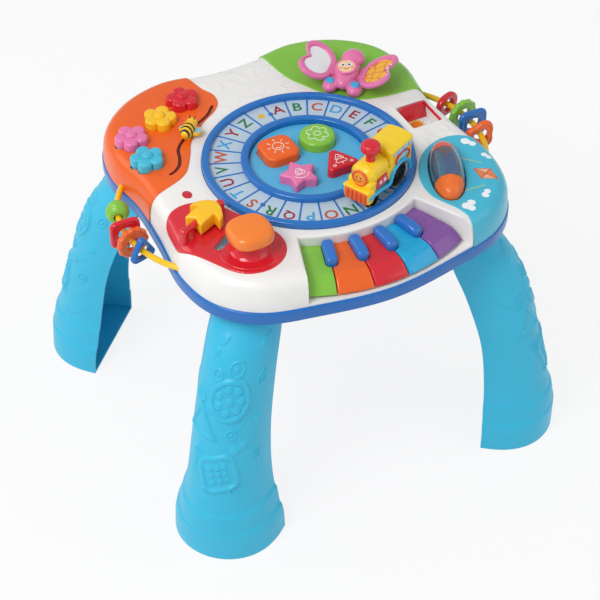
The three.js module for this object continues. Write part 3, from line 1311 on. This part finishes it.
// Turns a wing from its own plane to its place and rest tilt at one side of the figure
function hinged(solid, side) {
  const mirrored = side > 0 ? solid : solid.mirror([0, 1, 0]);
  const raised = tilted(mirrored, new THREE.Vector3(1, 0, 0), side * WING_REST_TILT);
  return onFigure(placed(raised, 0, hingeOffset(side), WING_HINGE_HEIGHT));
}

// Beads: drawn with the rod along +Z, hung on the top of their bores

function beadOutline(kind) {
  if (kind === 'square') {
    const width = BEAD_RADIUS * BEAD_SQUARE_SHARE;
    return roundedPolygon(rectangle(width, width), BEAD_RADIUS * BEAD_CORNER_SHARE, 3);
  }
  if (kind === 'triangle') return trianglePoints(BEAD_RADIUS * BEAD_TRIANGLE_SHARE);
  if (kind === 'dome') {
    const spread = BEAD_RADIUS * BEAD_DOME_SPREAD_SHARE;
    return stadium([-spread, 0], [spread, 0], BEAD_RADIUS * BEAD_DOME_SHARE, 8);
  }
  if (kind === 'lobes') return wavedRing(BEAD_LOBES, BEAD_LOBE_SHARE, BEAD_LOBE_STEPS);
  return wavedRing(BEAD_SCALLOPS, BEAD_SCALLOP_SHARE, 3);
}

function wavedRing(waves, depth, steps) {
  return circlePoints(1, waves * steps).map(([x, y]) => {
    const reach = BEAD_RADIUS * (1 - depth + depth * Math.cos(waves * Math.atan2(y, x)));
    return [x * reach, y * reach];
  });
}

function barrelBead() {
  const profile = [];
  const steps = BARREL_RIBS * 3;
  for (let i = 0; i <= steps; i += 1) {
    const along = -1 + (2 * i) / steps;
    const swell = Math.sqrt(1 - BARREL_SWELL_SHARE * along * along);
    const rib = i % 3 === 0 ? -BARREL_RIB_DEPTH : 0;
    profile.push([BARREL_RADIUS * swell + rib, (along * BARREL_LENGTH) / 2]);
  }
  profile.push([BARREL_BORE, BARREL_LENGTH / 2], [BARREL_BORE, -BARREL_LENGTH / 2]);
  return turned(profile, 14);
}

function ringBead(kind) {
  const edge = BEAD_THICKNESS / 4;
  const options = {
    depth: BEAD_THICKNESS - 2 * edge,
    bevelEnabled: true,
    bevelThickness: edge,
    bevelSize: edge,
    bevelOffset: -edge,
    bevelSegments: 1,
  };
  const geometry = new THREE.ExtrudeGeometry(shapeOf(beadOutline(kind)), options);
  geometry.translate(0, 0, edge - BEAD_THICKNESS / 2);
  return toSolid(geometry).subtract(post(BEAD_BORE, -BEAD_THICKNESS, BEAD_THICKNESS, 14));
}

function bead({ side, angle, kind }) {
  const isBarrel = kind === 'barrel';
  const form = isBarrel ? barrelBead() : ringBead(kind);
  const bore = isBarrel ? BARREL_BORE - RUNNING_GAP : BEAD_BORE;
  const hang = bore - LOOP_ROD_RADIUS - GAP;
  const matrix = new THREE.Matrix4().makeBasis(
    new THREE.Vector3(side * Math.cos(angle), Math.sin(angle), 0),
    new THREE.Vector3(0, 0, 1),
    new THREE.Vector3(side * Math.sin(angle), -Math.cos(angle), 0),
  );
  if (matrix.determinant() < 0) matrix.scale(new THREE.Vector3(1, 1, -1));
  const [x, y] = loopPoint(side, angle);
  matrix.setPosition(x, y, DECK_LEVEL - LOOP_DROP - hang);
  return form.transform(matrix.elements);
}

// Train: drawn with its front along +X, the track's surface at level zero

function onTrack(solid) {
  const x = TRAIN_TRACK_RADIUS * Math.cos(TRAIN_BEARING);
  const y = TRAIN_TRACK_RADIUS * Math.sin(TRAIN_BEARING);
  return placed(solid, x, y, TRACK_LEVEL + TRAIN_LIFT, TRAIN_BEARING - Math.PI / 2);
}

// A side outline of length and level, carried across the train's width
function across(points, halfWidth) {
  const geometry = new THREE.ExtrudeGeometry(shapeOf(points), { depth: 2 * halfWidth, bevelEnabled: false });
  geometry.translate(0, 0, -halfWidth).rotateX(Math.PI / 2);
  return toSolid(geometry);
}

function wheelCut(x, radius, halfWidth, sides = 20) {
  return across(circlePoints(radius, sides).map(([u, v]) => [x + u, v]), halfWidth);
}

function wheelSet(x, radius, sides) {
  const place = (solid) => solid.transform(new THREE.Matrix4().makeTranslation(0, 0, radius).elements);
  const wheel = wheelCut(x, radius, WHEEL_OUTER_FACE, sides);
  const between = wheelCut(x, radius + GAP, WHEEL_OUTER_FACE - WHEEL_WIDTH, sides);
  const hubs = wheelCut(x, radius * WHEEL_HUB_SHARE, WHEEL_OUTER_FACE + RUNNING_GAP, 10);
  const face = wheelCut(x, radius * WHEEL_DISH_SHARE, WHEEL_OUTER_FACE + RUNNING_GAP, sides);
  const dish = face.subtract(wheelCut(x, radius, WHEEL_OUTER_FACE - WHEEL_DISH_DEPTH, sides));
  const axle = wheelCut(x, AXLE_RADIUS, WHEEL_OUTER_FACE, 10);
  return onTrack(place(join([wheel.subtract(dish).add(hubs).subtract(between), axle])));
}

const AXLES = [
  { x: -WHEEL_PLACE, radius: REAR_WHEEL_RADIUS },
  { x: WHEEL_PLACE, radius: FRONT_WHEEL_RADIUS },
];

function lifted(solid, z) {
  return solid.transform(new THREE.Matrix4().makeTranslation(0, 0, z).elements);
}

function trainChassis() {
  const top = TRAIN_DECK - GAP;
  const archRadius = REAR_WHEEL_RADIUS + WHEEL_CLEARANCE;
  const frame = box(
    TRAIN_BACK + TRAIN_BOILER_FRONT - TRAIN_BUMPER_LENGTH,
    2 * TRAIN_CHASSIS_HALF_WIDTH,
    top - TRAIN_BAND_THICKNESS,
    (TRAIN_BOILER_FRONT - TRAIN_BUMPER_LENGTH - TRAIN_BACK) / 2 + TRAIN_BAND_THICKNESS / 2,
    0,
    (top + TRAIN_BAND_THICKNESS) / 2,
  );
  const band = across([
    [-WHEEL_PLACE, top - TRAIN_BAND_THICKNESS],
    [TRAIN_BOILER_FRONT - TRAIN_BUMPER_LENGTH / 2, top - TRAIN_BAND_THICKNESS],
    [TRAIN_BOILER_FRONT - TRAIN_BUMPER_LENGTH / 2, top],
    [-WHEEL_PLACE, top],
  ], TRAIN_BAND_HALF_WIDTH);
  const fender = wheelCut(-WHEEL_PLACE, archRadius + TRAIN_BAND_THICKNESS, TRAIN_BAND_HALF_WIDTH);
  const arch = lifted(fender, REAR_WHEEL_RADIUS);
  const upperLevel = REAR_WHEEL_RADIUS + TRAIN_BACK / 2;
  const upperHalf = box(TRAIN_BACK * 3, TRAIN_BACK * 2, TRAIN_BACK, 0, 0, upperLevel);
  const archTop = arch.intersect(upperHalf);
  const well = wheelCut(-WHEEL_PLACE, archRadius, TRAIN_BAND_HALF_WIDTH + OVERRUN);
  const wells = lifted(well, REAR_WHEEL_RADIUS);
  const axleBlock = box(
    FRONT_WHEEL_RADIUS * 2,
    2 * TRAIN_CHASSIS_HALF_WIDTH,
    FRONT_WHEEL_RADIUS,
    WHEEL_PLACE,
    0,
    TRAIN_BAND_THICKNESS + FRONT_WHEEL_RADIUS / 2,
  );
  let chassis = join([join([band, archTop]).subtract(wells), frame, axleBlock]);
  for (const { x, radius } of AXLES) {
    chassis = chassis.subtract(lifted(wheelCut(x, AXLE_RADIUS + AXLE_CLEARANCE, OVERRUN, 14), radius));
    const pocket = wheelCut(x, radius + WHEEL_CLEARANCE, TRAIN_BAND_HALF_WIDTH + OVERRUN);
    const slab = wheelCut(x, radius + WHEEL_CLEARANCE + OVERRUN, TRAIN_CHASSIS_HALF_WIDTH);
    chassis = chassis.subtract(lifted(pocket.subtract(slab), radius));
  }
  return onTrack(chassis);
}

function trainBody() {
  const saddle = box(
    TRAIN_BOILER_FRONT + TRAIN_CAB_FRONT,
    2 * TRAIN_BOILER_RADIUS,
    TRAIN_BOILER_LEVEL - TRAIN_DECK,
    (TRAIN_BOILER_FRONT - TRAIN_CAB_FRONT) / 2,
    0,
    (TRAIN_BOILER_LEVEL + TRAIN_DECK) / 2,
  );
  const boiler = alongX(TRAIN_BOILER_RADIUS, -TRAIN_CAB_FRONT, TRAIN_BOILER_FRONT, TRAIN_BOILER_LEVEL, 20);
  const lampFront = TRAIN_BOILER_FRONT + TRAIN_LAMP_THICKNESS;
  const lamp = alongX(TRAIN_LAMP_RADIUS, TRAIN_BOILER_FRONT - GAP, lampFront, TRAIN_BOILER_LEVEL, 18);
  const cabShape = [
    [-TRAIN_BACK, TRAIN_DECK],
    [-TRAIN_CAB_FRONT, TRAIN_DECK],
    [-TRAIN_CAB_FRONT, TRAIN_ROOF - TRAIN_ROOF_THICKNESS],
    [-TRAIN_BACK, TRAIN_ROOF - TRAIN_ROOF_THICKNESS],
  ];
  const roofShape = [
    [-TRAIN_BACK - TRAIN_ROOF_OVERHANG, TRAIN_ROOF - TRAIN_ROOF_THICKNESS],
    [-TRAIN_CAB_FRONT + TRAIN_ROOF_OVERHANG, TRAIN_ROOF - TRAIN_ROOF_THICKNESS],
    [-TRAIN_CAB_FRONT, TRAIN_ROOF],
    [-TRAIN_BACK, TRAIN_ROOF],
  ];
  const cab = across(cabShape, TRAIN_HALF_WIDTH);
  const roof = across(roofShape, TRAIN_HALF_WIDTH + TRAIN_ROOF_OVERHANG);
  const windowShape = circlePoints(1, 20).map(([x, y]) => [
    -(TRAIN_BACK + TRAIN_CAB_FRONT) / 2 + x * TRAIN_WINDOW_HALF_LENGTH,
    (TRAIN_ROOF + TRAIN_DECK) / 2 + 2 * RUNNING_GAP + y * TRAIN_WINDOW_HALF_HEIGHT,
  ]);
  const keep = across(cabShape, TRAIN_HALF_WIDTH - TRAIN_WINDOW_INSET);
  const windows = across(windowShape, TRAIN_HALF_WIDTH + OVERRUN).subtract(keep);
  const bumper = across([
    [TRAIN_BOILER_FRONT - TRAIN_BUMPER_LENGTH / 2 + GAP, TRAIN_BUMPER_BOTTOM + FRONT_WHEEL_RADIUS],
    [TRAIN_FRONT - TRAIN_BUMPER_LENGTH / 2, TRAIN_BUMPER_BOTTOM],
    [TRAIN_FRONT - TRAIN_GRILLE_THICKNESS, TRAIN_BUMPER_BOTTOM],
    [TRAIN_FRONT - TRAIN_GRILLE_THICKNESS - TRAIN_GRILLE_INSET, TRAIN_BUMPER_TOP],
    [TRAIN_BOILER_FRONT - TRAIN_BUMPER_LENGTH, TRAIN_BUMPER_TOP],
    [TRAIN_BOILER_FRONT - TRAIN_BUMPER_LENGTH, TRAIN_DECK],
    [TRAIN_BOILER_FRONT - TRAIN_BUMPER_LENGTH / 2 + GAP, TRAIN_DECK],
  ], TRAIN_HALF_WIDTH);
  const holeBottom = TRAIN_BOILER_LEVEL + TRAIN_BOILER_RADIUS / 2;
  const chimneyPost = post(CHIMNEY_STEM_RADIUS + GAP, holeBottom, TRAIN_ROOF, 18);
  const chimneyHole = placed(chimneyPost, CHIMNEY_PLACE, 0, 0);
  let body = join([saddle, boiler, lamp, cab, roof, bumper]).subtract(windows).subtract(chimneyHole);
  const archRadius = REAR_WHEEL_RADIUS + WHEEL_CLEARANCE + TRAIN_BAND_THICKNESS + GAP;
  const rearPocket = wheelCut(-WHEEL_PLACE, archRadius, TRAIN_HALF_WIDTH + OVERRUN);
  body = body.subtract(lifted(rearPocket, REAR_WHEEL_RADIUS));
  const pocketRadius = FRONT_WHEEL_RADIUS + WHEEL_CLEARANCE;
  const frontPocket = wheelCut(WHEEL_PLACE, pocketRadius, TRAIN_HALF_WIDTH + OVERRUN);
  return onTrack(body.subtract(lifted(frontPocket, FRONT_WHEEL_RADIUS)));
}

function trainGrille() {
  const lean = Math.atan2(TRAIN_GRILLE_INSET, TRAIN_BUMPER_TOP - TRAIN_BUMPER_BOTTOM);
  const height = TRAIN_BUMPER_TOP - TRAIN_BUMPER_BOTTOM - TRAIN_GRILLE_INSET;
  const width = 2 * (TRAIN_HALF_WIDTH - TRAIN_GRILLE_INSET);
  const plate = box(TRAIN_GRILLE_THICKNESS / 2, width, height, -TRAIN_GRILLE_THICKNESS / 4, 0, 0);
  const pitch = width / TRAIN_GRILLE_BARS;
  const bars = Array.from({ length: TRAIN_GRILLE_BARS }, (_, i) => {
    const y = (i - (TRAIN_GRILLE_BARS - 1) / 2) * pitch;
    return box(TRAIN_GRILLE_THICKNESS, pitch * TRAIN_GRILLE_BAR_SHARE, height - pitch / 4, 0, y, 0);
  });
  const grille = tilted(join([plate, ...bars]), new THREE.Vector3(0, 1, 0), -lean);
  const x = TRAIN_FRONT - TRAIN_GRILLE_THICKNESS / 2 - TRAIN_GRILLE_INSET / 2 + 2 * GAP;
  const matrix = new THREE.Matrix4().makeTranslation(x, 0, (TRAIN_BUMPER_TOP + TRAIN_BUMPER_BOTTOM) / 2);
  return onTrack(grille.transform(matrix.elements));
}

function trainChimney() {
  const foot = TRAIN_BOILER_LEVEL + TRAIN_BOILER_RADIUS / 2 + GAP;
  const top = TRAIN_BOILER_LEVEL + TRAIN_BOILER_RADIUS + CHIMNEY_HEIGHT;
  const capBottom = top - CHIMNEY_HEIGHT * CHIMNEY_CAP_SHARE;
  const capHeight = top - capBottom;
  const profile = [
    [0, foot],
    [CHIMNEY_STEM_RADIUS, foot],
    [CHIMNEY_STEM_RADIUS, capBottom],
    ...CHIMNEY_CAP_SHARES.map(([reach, rise]) => [CHIMNEY_CAP_RADIUS * reach, capBottom + capHeight * rise]),
  ];
  const points = profile.map(([r, z]) => new THREE.Vector2(r, z));
  const chimney = toSolid(new THREE.LatheGeometry(points, 20).rotateX(Math.PI / 2));
  return onTrack(chimney.transform(new THREE.Matrix4().makeTranslation(CHIMNEY_PLACE, 0, 0).elements));
}

// Legs: stations from the socket down to the sole

const LEG_HEIGHT = TRAY_BOTTOM - GAP;

function legStations(rear) {
  const shiftAt = (level) => (rear ? REAR_LOBE_SHIFT + REAR_FOOT_SHIFT * (1 - level) : 0);
  const station = ({ level, inner, outer, width }, z, step = 0) => ({
    z,
    inner: LEG_TOP_INNER + inner * LEG_REACH + shiftAt(level),
    outer: LEG_TOP_INNER + outer * LEG_REACH + shiftAt(level) - step,
    half: width * LEG_HALF_WIDTH - step,
  });
  const top = LEG_STATION_SHARES[0];
  return [
    station(top, LEG_HEIGHT + LEG_SOCKET_DEPTH),
    ...LEG_STATION_SHARES.map((shares) => station(shares, shares.level * LEG_HEIGHT)),
    station(LEG_LOW_SHARES, 2 * FOOT_STEP_RISE + FOOT_STEP),
    station(LEG_LOW_SHARES, 2 * FOOT_STEP_RISE, -FOOT_STEP),
    station(LEG_FOOT_SHARES, FOOT_STEP_RISE + FOOT_STEP, -FOOT_STEP),
    station(LEG_FOOT_SHARES, FOOT_STEP_RISE, -2 * FOOT_STEP),
    station(LEG_FOOT_SHARES, 0, -2 * FOOT_STEP),
  ];
}

// The D outline of a leg at one station, drawn in by a margin
function legOutline({ inner, outer, half, z }, margin) {
  const steps = LEG_BEND_STEPS * 2;
  return Array.from({ length: steps + 1 }, (_, i) => {
    const angle = -Math.PI / 2 + (Math.PI * i) / steps;
    const bulge = Math.pow(Math.cos(angle), LEG_BULGE_POWER);
    const reach = Math.max(0, outer - inner - margin);
    return [inner + bulge * reach, Math.sin(angle) * (half - margin), z];
  });
}

function legSolid(stations, margin) {
  const rings = stations.map((station) => {
    const arc = legOutline(station, margin);
    const back = margin > 0 ? station.inner - OVERRUN : station.inner;
    return [...arc, [back, arc[arc.length - 1][1], station.z], [back, arc[0][1], station.z]];
  });
  return loft(rings.reverse());
}

function leg({ bearing, rear }) {
  const stations = legStations(rear);
  const outer = legSolid(stations, 0);
  const hollow = stations.map((station, i) => {
    if (i === stations.length - 1) return { ...station, z: SOLE_THICKNESS };
    return i === 0 ? { ...station, z: station.z + OVERRUN } : station;
  });
  const inside = legSolid(hollow, LEG_WALL);
  const slab = box(
    LEG_REACH * 4,
    LEG_REACH * 2,
    LEG_RIB_THICKNESS,
    LEG_REACH * 2,
    0,
    LEG_RIB_LEVEL_SHARE * LEG_HEIGHT,
  );
  const open = legSolid(stations, LEG_WALL + LEG_HALF_WIDTH * LEG_RIB_DEPTH_SHARE);
  const rib = outer.intersect(slab).subtract(open);
  return placed(outer.subtract(inside).add(rib), 0, 0, 0, bearing);
}

function legSocket({ bearing, rear }, margin, bottom, top) {
  const [first] = legStations(rear);
  const grown = {
    ...first,
    inner: first.inner - margin,
    outer: first.outer + margin,
    half: first.half + margin,
  };
  const arc = legOutline(grown, 0).map(([x, y]) => [x, y]);
  return placed(prism(arc, bottom, top), 0, 0, 0, bearing);
}

// Base tray with leg sockets, battery bay and speaker slots

function baseTray() {
  const ring = (inset, z) => insetOutline(TABLE_OUTLINE, inset).map(([x, y]) => [x, y, z]);
  const outside = loft([
    ring(TRAY_BOTTOM_INSET, TRAY_BOTTOM),
    ring(TRAY_EDGE_INSET, RIM_BOTTOM - TRAY_EDGE_DROP),
    ring(0, RIM_BOTTOM),
    ring(0, RIM_LEVEL),
  ]);
  const inside = loft([
    ring(TRAY_BOTTOM_INSET + TRAY_WALL, TRAY_FLOOR),
    ring(TRAY_EDGE_INSET + TRAY_WALL + RIM_SETBACK, RIM_BOTTOM),
    ring(TRAY_WALL + RIM_SETBACK + SKIN_DEPTH, RIM_LEVEL + OVERRUN),
  ]);
  const sockets = LEGS.map((one) => {
    const top = TRAY_BOTTOM + LEG_SOCKET_DEPTH + LEG_SOCKET_WALL;
    return legSocket(one, LEG_SOCKET_WALL + GAP, TRAY_BOTTOM, top);
  });
  const pockets = LEGS.map((one) => legSocket(one, GAP, 0, TRAY_BOTTOM + LEG_SOCKET_DEPTH + GAP));
  const [bx, by] = plan(BATTERY_PLACE_SHARES);
  const bay = (margin, bottom, top) => {
    const points = rectangle(BATTERY_DOOR_WIDTH + 2 * margin, BATTERY_DOOR_LENGTH + 2 * margin);
    return placed(prism(points, bottom, top), bx, by, 0);
  };
  const bayTop = TRAY_BOTTOM + BATTERY_BAY_HEIGHT;
  const [sx, sy] = plan(SPEAKER_PLACE_SHARES);
  const slots = Array.from({ length: SPEAKER_SLOTS }, (_, i) => {
    const offset = (i - (SPEAKER_SLOTS - 1) / 2) * SPEAKER_SLOT_PITCH;
    const reach = Math.sqrt(SPEAKER_RADIUS * SPEAKER_RADIUS - offset * offset) - SPEAKER_SLOT_PITCH / 2;
    const points = stadium([-reach, 0], [reach, 0], SPEAKER_SLOT_WIDTH / 2, 3);
    return placed(prism(points, 0, TRAY_FLOOR + OVERRUN), sx, sy + offset, 0);
  });
  const bayBlock = bay(BATTERY_BAY_WALL, TRAY_BOTTOM, bayTop + BATTERY_BAY_WALL);
  const doorSeat = bay(0, 0, TRAY_BOTTOM + BATTERY_DOOR_THICKNESS + GAP);
  const solids = [outside.subtract(inside), ...sockets, bayBlock];
  const cuts = [...pockets, bay(-BATTERY_LIP, 0, bayTop), doorSeat, ...slots];
  return cuts.reduce((solid, cut) => solid.subtract(cut), join(solids));
}

function batteryDoor() {
  const [x, y] = plan(BATTERY_PLACE_SHARES);
  const outline = rectangle(BATTERY_DOOR_WIDTH - 2 * GAP, BATTERY_DOOR_LENGTH - 2 * GAP);
  const points = roundedPolygon(outline, BUTTON_EDGE, 3);
  return placed(prism(points, TRAY_BOTTOM, TRAY_BOTTOM + BATTERY_DOOR_THICKNESS), x, y, 0);
}

function speaker() {
  const [x, y] = plan(SPEAKER_PLACE_SHARES);
  const bottom = TRAY_FLOOR + GAP;
  const profile = SPEAKER_PROFILE_SHARES.map(([reach, rise]) => {
    return new THREE.Vector2(SPEAKER_RADIUS * reach, bottom + SPEAKER_HEIGHT * rise);
  });
  const geometry = new THREE.LatheGeometry(profile, 24).rotateX(Math.PI / 2);
  return placed(toSolid(geometry), x, y, 0);
}

function indicatorLens() {
  return indicatorHole(0, DECK_LEVEL - INDICATOR_DEPTH, DECK_LEVEL + INDICATOR_RISE);
}

// The assembly

const table = new THREE.Group();

function addPiece(name, solid, color, roughness = 0.35, extra = {}) {
  const material = new THREE.MeshStandardMaterial({ color, roughness, metalness: 0, ...extra });
  const mesh = new THREE.Mesh(toGeometry(solid), material);
  mesh.name = name;
  table.add(mesh);
}

const CLEAR = { transparent: true, opacity: 0.35 };

addPiece('base_tray', baseTray(), 0x1c6cbc);
addPiece('top_shell', topShell(), 0xf2f1f0);
addPiece('orange_cover', orangeCover(), 0xf26c22);
addPiece('green_cover', skin('green_cover').subtract(loopSeats), 0x84c441);
addPiece('aqua_cover', aquaCover(), 0x45bcd8);
addPiece('red_panel', redPanel(), 0xd81f2e);
addPiece('dial_ring', dialRing(), 0x1f74c4);
addPiece('centre_disc', centreDisc(), 0x56b4e0);
for (const button of SHAPE_BUTTONS) addPiece(button.name, shapeButton(button), button.colour);
for (const flower of FLOWERS) addPiece(flower.name, flowerButton(flower), flower.colour);
addPiece('slot_slider', slotSlider(), 0xfcc21c);
KEYS.forEach(({ name, colour }, i) => addPiece(name, largeKey(i), colour));
for (let i = 0; i < KEY_COUNT - 1; i += 1) {
  addPiece(`small_key_${i + 1}`, smallKey(smallKeyAngle(i), 0), 0x2a72c6);
}
addPiece('arrow_slider', arrowSlider(), 0xfcc21c);
addPiece('orange_knob', orangeKnob(), 0xf5822a);
addPiece('picture_disc', pictureDisc(), 0xb9d35a);
addPiece('panel_window', panelWindow(), 0xdfe8f0, 0.1, CLEAR);
addPiece('indicator_lens', indicatorLens(), 0xc8102e, 0.2);
addPiece('roller_barrel', rollerBarrel(), 0xb8c4d8, 0.1, CLEAR);
addPiece('roller_caps', rollerCaps(), 0xf26c22);
addPiece('peek_flap', peekFlap(), 0xd81f2e);
addPiece('figure_body', figureBody(), 0xe070a8);
addPiece('wing_left', wing(1, false), 0xf07aae);
addPiece('wing_right', wing(-1, false), 0xf07aae);
addPiece('wing_mirror', wing(1, true), 0xe6ebf0, 0.05, { metalness: 1 });
addPiece('train_body', trainBody(), 0xfdd323);
addPiece('train_chassis', trainChassis(), 0x2fb3e3);
addPiece('train_chimney', trainChimney(), 0xd81f2e);
addPiece('train_grille', trainGrille(), 0xf4511e);
addPiece('train_front_wheels', wheelSet(WHEEL_PLACE, FRONT_WHEEL_RADIUS, 14), 0x1a1a1c, 0.6);
addPiece('train_rear_wheels', wheelSet(-WHEEL_PLACE, REAR_WHEEL_RADIUS, 20), 0x1a1a1c, 0.6);
addPiece('loop_rod_left', loopTube(-1, LOOP_FRONT_ANGLE, LOOP_BACK_ANGLE, LOOP_ROD_RADIUS), 0xf6c721);
addPiece('loop_rod_right', loopTube(1, LOOP_FRONT_ANGLE, LOOP_BACK_ANGLE, LOOP_ROD_RADIUS), 0xf6c721);
for (const one of BEADS) addPiece(one.name, bead(one), one.colour);
for (const one of LEGS) addPiece(one.name, leg(one), 0x29afd4);
addPiece('battery_door', batteryDoor(), 0x1c6cbc);
addPiece('speaker', speaker(), 0x303236, 0.7);

// The frame's origin is below the middle of the whole table, on the floor
const bounds = new THREE.Box3().setFromObject(table);
const middle = bounds.getCenter(new THREE.Vector3());
table.position.set(-middle.x, -middle.y, -bounds.min.z);

export default table;
